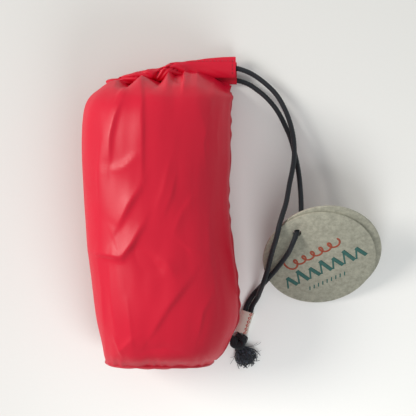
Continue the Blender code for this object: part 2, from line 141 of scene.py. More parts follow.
# Centre lines of the two strands, from inside the channel to the knot, and where they come out.
FRONT_ROUTE = (
    (32.6, 94.7, 8.6), (40.6, 94.7, 8.6), (48.6, 94.7, 8.6), (56.3, 92.3, 8.8), (62.3, 89.0, 9.0),
    (69.0, 83.8, 9.6), (75.0, 77.7, 10.6), (79.5, 70.5, 12.2), (83.4, 61.2, 14.6), (86.0, 51.0, 17.6),
    (86.9, 40.8, 21.0), (86.4, 32.1, 24.2), (84.9, 24.1, 27.2), (83.0, 16.2, 30.2), (80.5, 4.4, 34.6),
    (77.7, -3.9, 38.0), (75.7, -10.3, 39.6), (73.9, -18.7, 37.6), (71.5, -28.5, 30.6),
    (69.1, -40.3, 22.6), (66.8, -48.2, 19.8), (64.8, -54.7, 13.0), (63.5, -59.3, 7.4),
    (60.4, -65.4, 2.5), (58.8, -70.3, 2.5), (57.2, -75.2, 2.5), (55.6, -80.2, 2.5), (54.0, -85.1, 2.5),
)
BACK_ROUTE = (
    (32.6, 87.3, 2.9), (40.6, 87.3, 2.9), (48.6, 87.3, 2.9), (56.5, 85.0, 3.6), (62.5, 81.1, 4.6),
    (68.9, 75.6, 6.6), (74.4, 69.1, 8.6), (78.3, 62.7, 10.6), (82.1, 54.5, 12.8), (85.3, 46.0, 15.2),
    (88.4, 32.3, 19.4), (89.8, 22.9, 22.2), (90.6, 12.3, 25.0), (90.8, 3.2, 27.4), (90.3, -4.7, 29.6),
    (87.8, -12.9, 32.0), (87.5, -14.5, 33.5), (87.1, -16.1, 35.0), (84.5, -22.5, 35.1),
    (82.0, -28.9, 29.8), (75.6, -38.8, 22.7), (71.5, -44.1, 19.1), (67.9, -48.7, 14.9),
    (64.5, -53.3, 8.1), (61.1, -57.4, 4.5), (56.8, -64.3, 2.5), (55.2, -69.2, 2.5), (53.6, -74.1, 2.5),
    (52.0, -79.0, 2.5), (50.4, -83.9, 2.5),
)

# Creases in the top of the cloth: plan points, height, how far it runs out on the left of its
# direction and on the right.
CREASES = (
    (((-22, 66), (-26, 55), (-28.5, 44), (-29.5, 28)), 1.3, 1.2, 7.0),
    (((-12.6, 86), (-11, 76), (-9.6, 66), (-9.2, 47), (-9.4, 17)), 0.9, 1.0, 9.0),
    (((-12, 33), (-21, 26), (-29.5, 24)), 0.8, 5.0, 1.5),
    (((-9.6, 14), (-17.5, 2), (-24.5, -11)), 1.5, 1.3, 7.0),
    (((-8, -8), (-15.5, -21), (-22, -29.5), (-29.5, -29)), 1.6, 1.3, 6.0),
    (((-22, -29), (-29.5, -28.3), (-40, -27.5)), 1.1, 1.1, 6.0),
    (((-15.5, -22), (-9.5, -30), (3.5, -38.5)), -1.5, 5.0, 5.0),
    (((22, -39), (7, -58), (-6, -79)), 1.0, 1.2, 8.0),
    (((-1, -28), (5, -32), (10, -40)), 0.9, 4.0, 6.0),
    (((-30, -34), (-29, -55), (-26, -80)), 0.7, 3.0, 4.0),
    (((-19, -52), (-17, -70), (-15, -88)), 0.7, 2.5, 4.0),
    (((-15, -78), (-19, -82), (-25, -88)), 0.9, 3.0, 1.5),
    (((-28, -77), (-25, -84), (-22, -92)), 0.7, 2.0, 1.5),
    (((-9, -86), (4, -84), (16, -88)), -0.8, 4.0, 4.0),
    (((7, 30), (3, 12), (-2, -2)), 0.5, 6.0, 1.5),
    (((34, 20), (30, -10), (31, -34)), 0.5, 6.0, 5.0),
    (((24, 64), (30, 40), (29, 18)), 0.6, 6.0, 7.0),
    (((-12.6, 86), (-17, 81), (-21, 76), (-25, 68)), 1.3, 6.0, 1.1),
    (((-12.6, 86), (-7, 81), (-1.5, 76)), 1.1, 1.0, 6.0),
    (((-26, 81), (-23, 78), (-20, 75)), -1.4, 2.0, 2.0),
    (((4.4, 89), (1.5, 84), (-1, 79)), 1.0, 2.2, 1.4),
    (((7.5, 88), (9, 84), (12, 80)), -1.3, 1.5, 1.5),
    (((14.6, 88), (15.5, 80), (14, 70)), 0.6, 3.0, 2.0),
    (((11, 22), (8, 8), (3, -4)), 0.5, 1.2, 4.0),
    (((21, 8), (14, -2), (9, -14)), 0.45, 4.0, 1.2),
    (((30, 52), (27, 40), (28.5, 26)), 0.4, 1.2, 5.0),
    (((37, 60), (35, 45), (36, 30)), 0.5, 1.5, 4.0),
    (((34, -50), (27, -62), (24, -78)), 0.5, 1.3, 5.0),
    (((12, -18), (20, -25), (30, -28)), 0.4, 4.0, 1.2),
    (((-35, 40), (-37, 20), (-36, -4)), 0.5, 4.0, 1.3),
    (((-38, -30), (-35, -50), (-34, -74)), 0.5, 1.3, 4.0),
)
CREASE_GAIN = 1.3  # every crease stands out this much more than its own height

# Where the tags, the sleeve, the knot and the tuft are, in mm.
TAG_HOLE = (87.45, -14.48, 33.5)
TAG_TILT = math.radians(34.4)
TAG_TURNS = {"front_tag": math.radians(36.7), "back_tag": math.radians(47.5)}
SLEEVE_TOP = (57.05, -69.58, 2.45)
SLEEVE_WAY = (0.309, 0.951, 0.0)
KNOT_CENTRE = (50.5, -89.7, 4.5)
KNOT_CORD = 0.0037  # the cord's diameter in the knot, where its braid opens, in metres
FRAY_CENTRE = (57.8, -101.9, 4.2)
TAG_GAP = 0.0003  # from the hole's middle to the face of either tag, in metres
TAG_BEVEL = 0.00022

# ---- the stage, in metres and watts

TABLE_SIDE = 4.0
TABLE_DROP = 0.0001
CAMERA_PLACE = (0.0300, 0.00065, 0.650)
CAMERA_LENS = 82.5
BACKDROP_STRENGTH = 0.62
LIGHT_AIM = (0.03, 0.0, 0.03)
WINDOW_LIGHT = {
    "way": (-0.787, 0.225, 0.577), "distance": 4.0, "size": 1.65, "power": 118.0, "tint": "FFFAF4",
}
TABLE_GLOW = {
    "way": (0.06, -0.22, 0.25), "distance": 0.349, "size": 0.20, "power": 0.70, "tint": "FAFCFF",
}


# ---- colours and nodes


def linear(hex_colour, alpha=1.0):
    """An sRGB hex colour as linear red, green, blue and alpha."""
    channels = [int(hex_colour[i : i + 2], 16) / 255 for i in (0, 2, 4)]
    return (*[c / 12.92 if c <= 0.04045 else ((c + 0.055) / 1.055) ** 2.4 for c in channels], alpha)


def colour_property(name, description, hex_colour):
    """A colour in the panel."""
    look = {"default": linear(hex_colour)[:3], "subtype": "COLOR", "size": 3, "min": 0, "max": 1}
    return bpy.props.FloatVectorProperty(name=name, description=description, **look)


def length_property(name, description, metres):
    """A length in the panel."""
    look = {"default": metres, "unit": "LENGTH", "subtype": "DISTANCE", "precision": 5, "min": 0}
    return bpy.props.FloatProperty(name=name, description=description, **look)


class StuffSackSizes(bpy.types.PropertyGroup):
    """Sizes of the sack's parts."""

    cloth: length_property("Cloth", "Thickness of the nylon as it lies in folds", 0.0005)
    cord: length_property("Cord", "Diameter of the drawcord", 0.0034)
    band: length_property("Band", "Width of the drawcord channel", 0.0150)
    tag: length_property("Tag", "Diameter of a hang tag", 0.074)
    board: length_property("Board", "Thickness of a hang tag", 0.0016)
    hole: length_property("Hole", "Diameter of a tag's hole", 0.0055)
    hole_offset: length_property("Hole offset", "From a tag's middle to its hole", 0.0264)
    sleeve: length_property("Sleeve", "Length of the ribbon sleeve", 0.015)
    stitch: length_property("Stitch", "Length of one stitch and its gap", 0.0026)


class StuffSackColours(bpy.types.PropertyGroup):
    """Colours of the sack's materials."""

    nylon: colour_property("Nylon", "Dyed nylon taffeta of the sack", "D21633")
    seam: colour_property("Seam", "Overlocked edge and its thread", "C51530")
    cord: colour_property("Cord", "Braided polyester cord", "151A20")
    board: colour_property("Board", "Recycled greyboard", "ACAB9B")
    ribbon: colour_property("Ribbon", "Woven cotton ribbon", "E6DCD0")
    ribbon_thread: colour_property("Ribbon thread", "Figured thread of the ribbon", "C23B2A")
    rust_ink: colour_property("Rust ink", "Printed wave", "A2503C")
    teal_ink: colour_property("Teal ink", "Printed peaks and ticks", "3A6761")
    table: colour_property("Table", "Matt white table top", "D7D7D4")


def sizes():
    """The sizes that the panel shows."""
    return bpy.context.scene.stuff_sack_sizes


def colours():
    """The colours that the panel shows."""
    return bpy.context.scene.stuff_sack_colours


def add_node(tree, kind, settings=None, values=None, links=None):
    """A node with its settings, the values of its sockets, and what is linked to them."""
    node = tree.nodes.new(kind)
    for key, value in (settings or {}).items():
        setattr(node, key, value)
    for key, value in (values or {}).items():
        node.inputs[key].default_value = value
    for key, source in (links or {}).items():
        tree.links.new(source, node.inputs[key])
    return node


def start_material(name, roughness, **shader_values):
    """A new material's node tree, its shader and its coordinates, with flat values on the shader."""
    made = bpy.data.materials.new(name)
    made.use_nodes = True
    tree = made.node_tree
    shader = tree.nodes["Principled BSDF"]
    shader.inputs["Roughness"].default_value = roughness
    for key, value in shader_values.items():
        shader.inputs[key.replace("_", " ")].default_value = value
    return made, tree, shader, add_node(tree, "ShaderNodeTexCoord").outputs


def two_tone(tree, shader, amount, dark, light):
    """Links a mix of two colours to the shader's base colour."""
    mix = add_node(
        tree, "ShaderNodeMix", {"data_type": "RGBA"}, {6: (*dark, 1), 7: (*light, 1)}, {0: amount}
    )
    tree.links.new(mix.outputs[2], shader.inputs["Base Color"])
    return mix


def shade(colour, factor):
    """A lighter or darker colour."""
    return tuple(min(1.0, c * factor) for c in colour)


def bump(tree, shader, height, distance, under=None):
    """A bump from a height, on top of another bump's normal."""
    links = {"Height": height}
    if under:
        links["Normal"] = under.outputs["Normal"]
    made = add_node(tree, "ShaderNodeBump", {}, {"Distance": distance, "Strength": 1.0}, links)
    tree.links.new(made.outputs["Normal"], shader.inputs["Normal"])
    return made


def thread_wave(tree, vector, direction, spacing):
    """A wave with one crest for each spacing, in metres, along X or Y of the vector."""
    return add_node(
        tree,
        "ShaderNodeTexWave",
        {"wave_type": "BANDS", "bands_direction": direction, "wave_profile": "SIN"},
        {"Scale": WAVE_SCALE / spacing, "Distortion": 0.0, "Detail": 0.0},
        {"Vector": vector},
    )


def plain_weave(tree, vector, spacing):
    """The height of crossing threads, spacing apart, in metres."""
    warp = thread_wave(tree, vector, "X", spacing)
    weft = thread_wave(tree, vector, "Y", spacing)
    links = {0: warp.outputs["Fac"], 1: weft.outputs["Fac"]}
    return add_node(tree, "ShaderNodeMath", {"operation": "MAXIMUM"}, {}, links).outputs[0]


def nylon_taffeta(name, colour):
    """Dyed nylon taffeta, calendered: a soft satin sheen, hair-fine threads and faint crumpling."""
    made, tree, shader, places = start_material(name, 0.36, Specular_IOR_Level=0.3)
    # threads end on scatter what would shine off the cloth at a grazing angle
    edge_on = add_node(tree, "ShaderNodeLayerWeight", {}, {"Blend": 0.5})
    span = {"From Min": 0.18, "From Max": 0.9, "To Min": 0.3, "To Max": 0.03}
    gloss = add_node(tree, "ShaderNodeMapRange", {}, span, {"Value": edge_on.outputs["Facing"]})
    tree.links.new(gloss.outputs["Result"], shader.inputs["Specular IOR Level"])
    uv, spot = places["UV"], {"Vector": places["Object"]}
    patches = add_node(tree, "ShaderNodeTexNoise", {}, {"Scale": 22.0, "Detail": 2.0}, spot)
    two_tone(tree, shader, patches.outputs["Fac"], shade(colour, 0.92), shade(colour, 1.08))
    # threads 0.25 mm apart are drawn 0.55 mm apart, so that they show
    weave = plain_weave(tree, uv, 0.00055)
    first = bump(tree, shader, weave, 0.000018)
    stretched = add_node(tree, "ShaderNodeMapping", {}, {"Scale": (1.0, 0.35, 1.0)}, {"Vector": uv})
    crumple = add_node(
        tree,
        "ShaderNodeTexNoise",
        {"noise_type": "RIDGED_MULTIFRACTAL"},
        {"Scale": 55.0, "Detail": 3.0, "Roughness": 0.45},
        {"Vector": stretched.outputs["Vector"]},
    )
    bump(tree, shader, crumple.outputs["Fac"], 0.0006, first)
    return made


def braided_cord(name, colour):
    """Braided polyester cord: matt, with the light catching single yarns painted into its colour as
    highlights and shade.
    """
    made, tree, shader, places = start_material(name, 0.62, Specular_IOR_Level=0.35, Sheen_Weight=0.15)
    uv = places["UV"]
    # yarns lie 0.5 mm apart across a diagonal
    turn = (0, 0, math.radians(35))
    turned = add_node(tree, "ShaderNodeMapping", {}, {"Rotation": turn}, {"Vector": uv})
    yarns = thread_wave(tree, turned.outputs["Vector"], "X", 0.0005)
    # painted highlight and shade: each yarn crest is coloured lighter and each groove darker
    two_tone(tree, shader, yarns.outputs["Fac"], shade(colour, 0.7), shade(colour, 1.6))
    bump(tree, shader, yarns.outputs["Fac"], 0.00004)
    return made


def loose_yarn(name, colour):
    """Unlaid polyester yarn: matt and a little dusty where it has rubbed."""
    made, tree, shader, places = start_material(name, 0.75, Specular_IOR_Level=0.3, Sheen_Weight=0.3)
    spot = {"Vector": places["Object"]}
    dust = add_node(tree, "ShaderNodeTexNoise", {}, {"Scale": 700.0, "Detail": 2.0}, spot)
    span = {"From Min": 0.42, "From Max": 0.70}
    pale = add_node(tree, "ShaderNodeMapRange", {}, span, {"Value": dust.outputs["Fac"]})
    two_tone(tree, shader, pale.outputs["Result"], shade(colour, 0.6), shade(colour, 9.0))
    bump(tree, shader, dust.outputs["Fac"], 0.00005)
    return made


def overlock_thread(name, colour):
    """Overlocked nylon edge: close turns of thread, 0.7 mm apart, whose catching of the light in rows is
    painted into their colour as highlights and shade.
    """
    made, tree, shader, places = start_material(name, 0.5, Sheen_Weight=0.2)
    turns = thread_wave(tree, places["UV"], "Y", 0.0007)
    # painted highlight and shade: each turn of thread is coloured lighter on its crest and darker
    # between turns
    two_tone(tree, shader, turns.outputs["Fac"], shade(colour, 0.75), shade(colour, 1.2))
    bump(tree, shader, turns.outputs["Fac"], 0.0001)
    return made


def greyboard(name, colour):
    """Pressed recycled board: matt, mottled, with pale and dark fibres 0.5 to 1.5 mm long."""
    made, tree, shader, places = start_material(name, 0.88, Specular_IOR_Level=0.2)
    spot = {"Vector": places["Object"]}
    lumps = {"Scale": 330.0, "Detail": 4.0, "Roughness": 0.72}
    mottle = add_node(tree, "ShaderNodeTexNoise", {}, lumps, spot)
    span = {"From Min": 0.34, "From Max": 0.66}
    spread = add_node(tree, "ShaderNodeMapRange", {}, span, {"Value": mottle.outputs["Fac"]})
    base = two_tone(tree, shader, spread.outputs["Result"], shade(colour, 0.80), shade(colour, 1.19))
    lie = {"Scale": (900.0, 260.0, 900.0), "Rotation": (0, 0, 0.6)}
    warped = add_node(tree, "ShaderNodeMapping", {}, lie, spot)
    curls = {"Scale": 1.0, "Detail": 3.0, "Distortion": 2.5}
    fibres = add_node(tree, "ShaderNodeTexNoise", {}, curls, {"Vector": warped.outputs["Vector"]})
    span = {"From Min": 0.60, "From Max": 0.72, "To Min": 0.0, "To Max": 0.55}
    dark = add_node(tree, "ShaderNodeMapRange", {}, span, {"Value": fibres.outputs["Fac"]})
    fleck = {7: (*shade(colour, 0.45), 1)}
    links = {0: dark.outputs["Result"], 6: base.outputs[2]}
    specks = add_node(tree, "ShaderNodeMix", {"data_type": "RGBA"}, fleck, links)
    tree.links.new(specks.outputs[2], shader.inputs["Base Color"])
    bump(tree, shader, mottle.outputs["Fac"], 0.00008)
    return made


def printed_ink(name, colour):
    """Flat printing ink on board: matt, thin enough for the board's mottling to break it up."""
    made, tree, shader, places = start_material(name, 0.7, Specular_IOR_Level=0.3)
    spot = {"Vector": places["Object"]}
    worn = add_node(tree, "ShaderNodeTexNoise", {}, {"Scale": 500.0, "Detail": 4.0}, spot)
    two_tone(tree, shader, worn.outputs["Fac"], shade(colour, 0.8), shade(colour, 1.35))
    return made


# The outline of a row of lozenges, step by step: result, operation, first and second number. Their
# row is 4.0 mm in, and they are 2.6 mm long, 1.1 mm to each side and drawn 0.7 mm thick.
LOZENGE_STEPS = (
    ("offset", "SUBTRACT", "x", 0.0040),
    ("beside", "ABSOLUTE", "offset", None),
    ("along", "MULTIPLY", "y", math.pi / 0.0026),
    ("swing", "SINE", "along", None),
    ("share", "ABSOLUTE", "swing", None),
    ("reach", "MULTIPLY", "share", 0.0011),
    ("figure", "LESS_THAN", "beside", "reach"),
    ("inside", "SUBTRACT", "reach", 0.0007),
    ("hollow", "LESS_THAN", "beside", "inside"),
    ("line", "SUBTRACT", "figure", "hollow"),
)


def cotton_ribbon(name, colour, thread):
    """Woven cotton ribbon: matt, with ribs 0.5 mm apart and a row of lozenges in coloured thread."""
    made, tree, shader, places = start_material(name, 0.85, Specular_IOR_Level=0.25, Sheen_Weight=0.2)
    uv = places["UV"]
    weave = plain_weave(tree, uv, 0.0005)
    ground = two_tone(tree, shader, weave, shade(colour, 0.84), shade(colour, 1.04))
    bump(tree, shader, weave, 0.00006)
    parts = add_node(tree, "ShaderNodeSeparateXYZ", {}, {}, {0: uv})
    found = {"x": parts.outputs["X"], "y": parts.outputs["Y"]}
    for result, operation, first, second in LOZENGE_STEPS:
        values, links = {}, {0: found[first]}
        if second in found:
            links[1] = found[second]
        elif second is not None:
            values[1] = second
        step = add_node(tree, "ShaderNodeMath", {"operation": operation}, values, links)
        found[result] = step.outputs[0]
    links = {0: found["line"], 6: ground.outputs[2]}
    figured = add_node(tree, "ShaderNodeMix", {"data_type": "RGBA"}, {7: (*thread, 1)}, links)
    tree.links.new(figured.outputs[2], shader.inputs["Base Color"])
    return made


def packed_cotton(name):
    """Rolled cotton cloth: matt, pale, with a coarse rib."""
    made, tree, shader, places = start_material(name, 0.9)
    spot = {"Vector": places["Object"]}
    ribs = add_node(tree, "ShaderNodeTexWave", {}, {"Scale": 60.0, "Distortion": 1.0}, spot)
    two_tone(tree, shader, ribs.outputs["Fac"], linear("B9B3A6")[:3], linear("DDD8CC")[:3])
    bump(tree, shader, ribs.outputs["Fac"], 0.0003)
    return made


def matt_table(name, colour):
    """Matt painted board: even, with a very fine orange peel."""
    made, tree, shader, places = start_material(name, 0.75, Specular_IOR_Level=0.2)
    spot = {"Vector": places["Object"]}
    peel = add_node(tree, "ShaderNodeTexNoise", {}, {"Scale": 500.0, "Detail": 2.0}, spot)
    two_tone(tree, shader, peel.outputs["Fac"], shade(colour, 0.99), shade(colour, 1.01))
    return made


def wear(piece, material):
    """Gives a piece its one material."""
    piece.data.materials.clear()
    piece.data.materials.append(material)


# ---- making pieces


def deselect():
    """Leaves edit mode and selects nothing."""
    if bpy.context.object and bpy.context.object.mode != "OBJECT":
        bpy.ops.object.mode_set(mode="OBJECT")
    bpy.ops.object.select_all(action="DESELECT")


def only(piece):
    """Selects one piece and makes it active."""
    deselect()
    piece.select_set(True)
    bpy.context.view_layer.objects.active = piece


def curve_through(rows, amount):
    """Rows of numbers on a smooth curve through the given rows, at amounts from 0 to 1."""
    table = np.asarray(rows, float)
    spans = len(table) - 1
    at = np.clip(amount, 0, 1) * spans
    i = np.minimum(at.astype(int), spans - 1)
    t = (at - i)[:, None]
    a, b, c, d = (table[np.clip(i + k, 0, spans)] for k in (-1, 0, 1, 2))
    square, cube = 2 * a - 5 * b + 4 * c - d, 3 * b - a - 3 * c + d
    return 0.5 * (2 * b + (c - a) * t + square * t**2 + cube * t**3)


def formed_grid(name, across, along, place, flat):
    """A grid of cloth moved into shape. place turns arrays of u and v, from 0 to 1, into points in
    metres. The UV map is the flat cloth in metres."""
    deselect()
    bpy.ops.mesh.primitive_grid_add(x_subdivisions=across, y_subdivisions=along, size=2, calc_uvs=True)
    piece = bpy.context.object
    piece.name = name
    mesh = piece.data
    mesh.name = name
    points = np.empty(len(mesh.vertices) * 3)
    mesh.vertices.foreach_get("co", points)
    points = points.reshape(-1, 3)
    placed = place((points[:, 0] + 1) / 2, (points[:, 1] + 1) / 2)
    mesh.vertices.foreach_set("co", np.ascontiguousarray(placed, dtype=np.float32).ravel())
    layer = mesh.uv_layers.active.data
    uv = np.empty(len(layer) * 2)
    layer.foreach_get("uv", uv)
    uv = uv.reshape(-1, 2) * np.asarray(flat)
    layer.foreach_set("uv", uv.ravel())
    mesh.update()
    return piece


def edit_mesh(piece, step):
    """Takes an edit step on the whole of a piece, and turns its faces outwards."""
    only(piece)
    bpy.ops.object.mode_set(mode="EDIT")
    bpy.ops.mesh.select_all(action="SELECT")
    step()
    bpy.ops.mesh.normals_make_consistent(inside=False)
    bpy.ops.object.mode_set(mode="OBJECT")


def close_up(piece):
    """Merges the points where edges meet."""
    edit_mesh(piece, lambda: bpy.ops.mesh.remove_doubles(threshold=1e-6))


def fill_ends(piece):
    """Closes the open ends of a tube."""
    edit_mesh(piece, lambda: bpy.ops.mesh.fill_holes(sides=0))


def apply_modifier(piece, kind, **settings):
    """Adds a modifier to a piece and applies it."""
    only(piece)
    modifier = piece.modifiers.new(kind.lower(), kind)
    for key, value in settings.items():
        setattr(modifier, key, value)
    bpy.ops.object.modifier_apply(modifier=modifier.name)


def thicken(piece, thickness):
    """Gives a sheet its thickness, inwards."""
    apply_modifier(piece, "SOLIDIFY", thickness=thickness, offset=-1, use_even_offset=False)


def smooth(piece, degrees=50):
    """Shades a piece smooth, but for edges sharper than an angle."""
    only(piece)
    bpy.ops.object.shade_smooth_by_angle(angle=math.radians(degrees))


def push(piece, height):
    """Moves each point along its normal by height(points, normals), in metres."""
    mesh = piece.data
    count = len(mesh.vertices)
    points, normals = np.empty(count * 3), np.empty(count * 3)
    mesh.vertices.foreach_get("co", points)
    mesh.vertex_normals.foreach_get("vector", normals)
    points, normals = points.reshape(-1, 3), normals.reshape(-1, 3)
    points += normals * height(points, normals)[:, None]
    points[:, 2] = np.maximum(points[:, 2], 0.0)
    mesh.vertices.foreach_set("co", points.astype(np.float32).ravel())
    mesh.update()


def noise_at(points, size, seed):
    """Smooth noise from -1 to 1 at each point. size is that of its lumps, in metres for each axis."""
    scaled = points / np.asarray(size) + seed
    return np.array([noise.noise(Vector(p)) for p in scaled])


def squared(wave, power):
    """A wave from -1 to 1 with a fuller or slimmer shape, its sign kept."""
    return np.sign(wave) * np.abs(wave) ** power


def smoothstep(low, high, value):
    """0 at low and 1 at high, with an even start and end."""
    t = np.clip((value - low) / (high - low), 0, 1)
    return t * t * (3 - 2 * t)


def crease_height(plan, points, height, left, right):
    """Height at plan points, in mm, of a crease along a line. It falls away over left mm on the left
    side of its direction and over right mm on the right side, and fades at both ends."""
    line = np.asarray(points, float)
    steps = np.diff(line, axis=0)
    lengths = np.hypot(*steps.T)
    along_at = np.concatenate([[0], np.cumsum(lengths)])
    best = np.full(len(plan), 1e9)
    side = np.ones(len(plan))
    share = np.zeros(len(plan))
    for start, step, length, before in zip(line, steps, lengths, along_at):
        away = plan - start
        t = np.clip((away @ step) / length**2, 0, 1)
        gap = away - t[:, None] * step
        distance = np.hypot(*gap.T)
        nearer = distance < best
        best = np.where(nearer, distance, best)
        cross = step[0] * away[:, 1] - step[1] * away[:, 0]
        side = np.where(nearer, np.sign(cross), side)
        share = np.where(nearer, (before + t * length) / along_at[-1], share)
    width = np.where(side > 0, left, right)
    fade = np.sin(np.pi * np.clip(share * 0.92 + 0.04, 0, 1)) ** 0.7
    return height * fade * np.exp(-((best / width) ** 1.15))


# ---- the sack


def base_sweep(x):
    """How far the base rim is drawn in at x, in mm."""
    return np.interp(x, *np.transpose(BASE_SWEEP))


def pleat_shift(x, v):
    """How far the gathers move the cloth along the sack, in mm, near its mouth."""
    return (np.interp(x, *np.transpose(END_PLEATS)) - END_PLEAT_MEAN) * smoothstep(0.74, 0.90, v)


def sack_points(u, v):
    """Points of the sack's cloth. u goes round it from the side seam, over the top, and v along it."""
    left_x, left_y, right_x, right_y, low, high = curve_through(SACK_ROWS, v).T
    angle = 2 * np.pi * u + TOP_SHARE * (np.cos(2 * np.pi * u) - 1)
    c = squared(np.cos(angle), 2 / SECTION_POWER)
    s = squared(np.sin(angle), 2 / SECTION_POWER)
    x = (left_x + right_x) / 2 + (right_x - left_x) / 2 * c
    y = (left_y + right_y) / 2 + (right_y - left_y) / 2 * c
    z = (low + high) / 2 + (high - low) / 2 * s
    y = y + pleat_shift(x, v) * smoothstep(-0.9, -0.1, s)
    y = y + base_sweep(x) * (1 - smoothstep(0.0, 0.10, v))
    return np.stack([x, y, np.maximum(z, 0.0)], axis=1) * MM


def sack_height(points, normals):
    """How far the cloth stands out: pressed creases on top, soft waves elsewhere."""
    plan = points[:, :2] / MM
    top = smoothstep(0.0, 0.35, normals[:, 2])
    total = np.zeros(len(points))
    for line, height, left, right in CREASES:
        total += CREASE_GAIN * crease_height(plan, line, height, left, right) * top
    waves = noise_at(points, (0.018, 0.055, 0.024), 3.7)
    small = noise_at(points, (0.007, 0.022, 0.010), 8.1)
    under = smoothstep(0.2, -0.2, normals[:, 2])
    total += waves * (0.55 + 0.8 * under) + small * 0.24
    base_pucker = smoothstep(-88, -97, plan[:, 1])
    total += base_pucker * 0.2 * np.sin(plan[:, 0] * 0.8 + 2.0 * np.sin(plan[:, 0] * 0.23))
    return np.maximum(total, -0.9) * MM


def make_wall():
    """The sack's cloth as a creased sheet."""
    wall = formed_grid("sack_cloth", 250, 188, sack_points, SACK_FLAT)
    close_up(wall)
    push(wall, sack_height)
    return wall


def ring_points(u, v, row, scale_low, scale_high, shift):
    """A disc of cloth: u round it and v from the rim to the middle."""
    left_x, left_y, right_x, _, low, high = row
    angle = 2 * np.pi * u
    c = squared(np.cos(angle), 2 / SECTION_POWER)
    s = squared(np.sin(angle), 2 / SECTION_POWER)
    share = scale_low + (scale_high - scale_low) * v
    x = (left_x + right_x) / 2 + (right_x - left_x) / 2 * c * share
    z = (low + high) / 2 + (high - low) / 2 * s * share
    y = left_y + shift(share, x, z) + base_sweep(x)
    return np.stack([x, y, z], axis=1) * MM


def base_points(u, v):
    """The base panel, puckered and bulging out a little."""

    def bulge(share, x, z):
        pucker = 0.35 * np.sin(x * 0.55 + z * 0.2) * share * (1 - share) * 4
        return -0.9 - 3.0 * (1 - share**2.2) + pucker

    return ring_points(u, v, SACK_ROWS[0], 1.0, 0.0, bulge)


def base_seam_points(u, v):
    """A sewn bead round the base: u round the base and v round the bead."""
    row = SACK_ROWS[0]
    rim = ring_points(u, np.zeros_like(u), row, 1.0, 1.0, lambda share, x, z: 0 * x) / MM
    middle = np.array([(row[0] + row[2]) / 2, row[1], (row[4] + row[5]) / 2])
    out = rim - middle
    out /= np.linalg.norm(out, axis=1)[:, None]
    turn = 2 * np.pi * v
    ripple = 1.0 + 0.3 * np.sin(2 * np.pi * 17 * u + 2 * np.sin(2 * np.pi * 5 * u))
    point = rim + out * (0.1 + 0.5 * ripple * np.cos(turn))[:, None]
    point[:, 1] += -0.1 + 0.8 * np.sin(turn)
    return point * MM


def side_seam_points(u, v):
    """The overlocked edge that stands out along the right side: u along it and v round it."""
    at = 0.02 + 0.88 * u
    _, _, right_x, right_y, low, high = curve_through(SACK_ROWS, at).T
    y = right_y + pleat_shift(right_x, at)
    turn = 2 * np.pi * v
    calmer = 1 - 0.7 * smoothstep(60, 80, right_y)
    ripple = np.sin(right_y * 0.47 + 2.4 * np.sin(right_y * 0.11)) * calmer
    x = right_x + 0.1 + (0.75 + 0.32 * ripple) * np.cos(turn)
    z = (low + high) / 2 + 0.9 * ripple + 0.45 * np.sin(turn)
    return np.stack([x, y, z], axis=1) * MM


def channel_rows(along):
    """Points down the hairpin of the channel: middle, direction across it and out of its face."""
    front = curve_through(CHANNEL_ROWS, np.clip(along / FOLD_SHARE, 0, 1))
    back = curve_through(CHANNEL_ROWS, np.clip((1 - along) / FOLD_SHARE, 0, 1))
    turn = np.clip((along - FOLD_SHARE) / (1 - 2 * FOLD_SHARE), 0, 1)
    angle = np.pi * turn
    is_back = along > 0.5
    row = np.where(is_back[:, None], back, front)
    x, y, z_front, z_back, bunched = row.T
    drop = BACK_DROP * (1 - bunched)
    y = np.where(is_back, y - drop, y)
    z = np.where(is_back, z_back, z_front)
    in_turn = (along > FOLD_SHARE) & (along < 1 - FOLD_SHARE)
    last = CHANNEL_ROWS[-1]
    radius = (last[2] - last[3]) / 2
    x = np.where(in_turn, last[0] - radius * np.sin(angle), x)
    z = np.where(in_turn, (last[2] + last[3]) / 2 + radius * np.cos(angle), z)
    out_x = np.where(in_turn, -np.sin(angle), 0.0)
    out_z = np.where(in_turn, np.cos(angle), np.where(is_back, -1.0, 1.0))
    return x, y, z, out_x, out_z, bunched


def channel_points(u, v):
    """The hem round the mouth: u round its flat section and v along it."""
    x, y, z, out_x, out_z, bunched = channel_rows(v)
    front = v < 0.5
    tuck = smoothstep(-10, -33, x)
    band = sizes().band / MM
    width = band + (BUNCHED_BAND - band) * bunched - 4.2 * tuck
    angle = 2 * np.pi * u
    c = squared(np.cos(angle), 0.75)
    s = np.sin(angle)
    face = 1 - 0.45 * np.abs(c) ** 3
    folds = np.zeros_like(x)
    for place, depth, spread, lean in CHANNEL_FOLDS:
        away = np.abs(x - place - lean * c * width / 2) / spread
        folds -= depth * np.exp(-(away**1.5))
    back_folds = np.sin(2 * np.pi * v * 24 + 3.0 * np.sin(2 * np.pi * v * 5) + 1.5 * c) * bunched * 1.2
    folds = np.where(front, folds, back_folds)
    puff = 0.45 * np.sin(x * 0.55 + 2.2 * c) * smoothstep(0.05, 0.5, bunched)
    puff = puff + 0.2 * np.sin(x * 0.23 + 2 * c)
    thick = (2.75 + 1.5 * bunched) * (1 - 0.35 * tuck) * face
    out = s * thick + (folds + puff) * np.maximum(s, 0) ** 0.5
    across = c * width / 2 * (1 + 0.04 * np.sin(x * 0.7 + 1.0) * bunched)
    scallop = np.interp(x, *np.transpose(CHANNEL_EDGE)) * np.maximum(c, 0) * front
    px = x + out_x * out + 0.9 * smoothstep(43, 48.6, x) * ~front
    py = y + across + scallop - 0.8 * tuck
    pz = z + out_z * out
    return np.stack([px, py, np.maximum(pz, 0.15)], axis=1) * MM


# ---- cords


def even_route(route, spacing):
    """Points in metres about spacing apart on the smooth curve through a route in mm."""
    count = len(route) * 60
    fine = curve_through(route, np.linspace(0, 1, count)) * MM
    run = np.concatenate([[0], np.cumsum(np.linalg.norm(np.diff(fine, axis=0), axis=1))])
    steps = max(2, round(run[-1] / spacing))
    wanted = np.linspace(0, run[-1], steps + 1)
    return np.stack([np.interp(wanted, run, fine[:, k]) for k in range(3)], axis=1), run[-1]


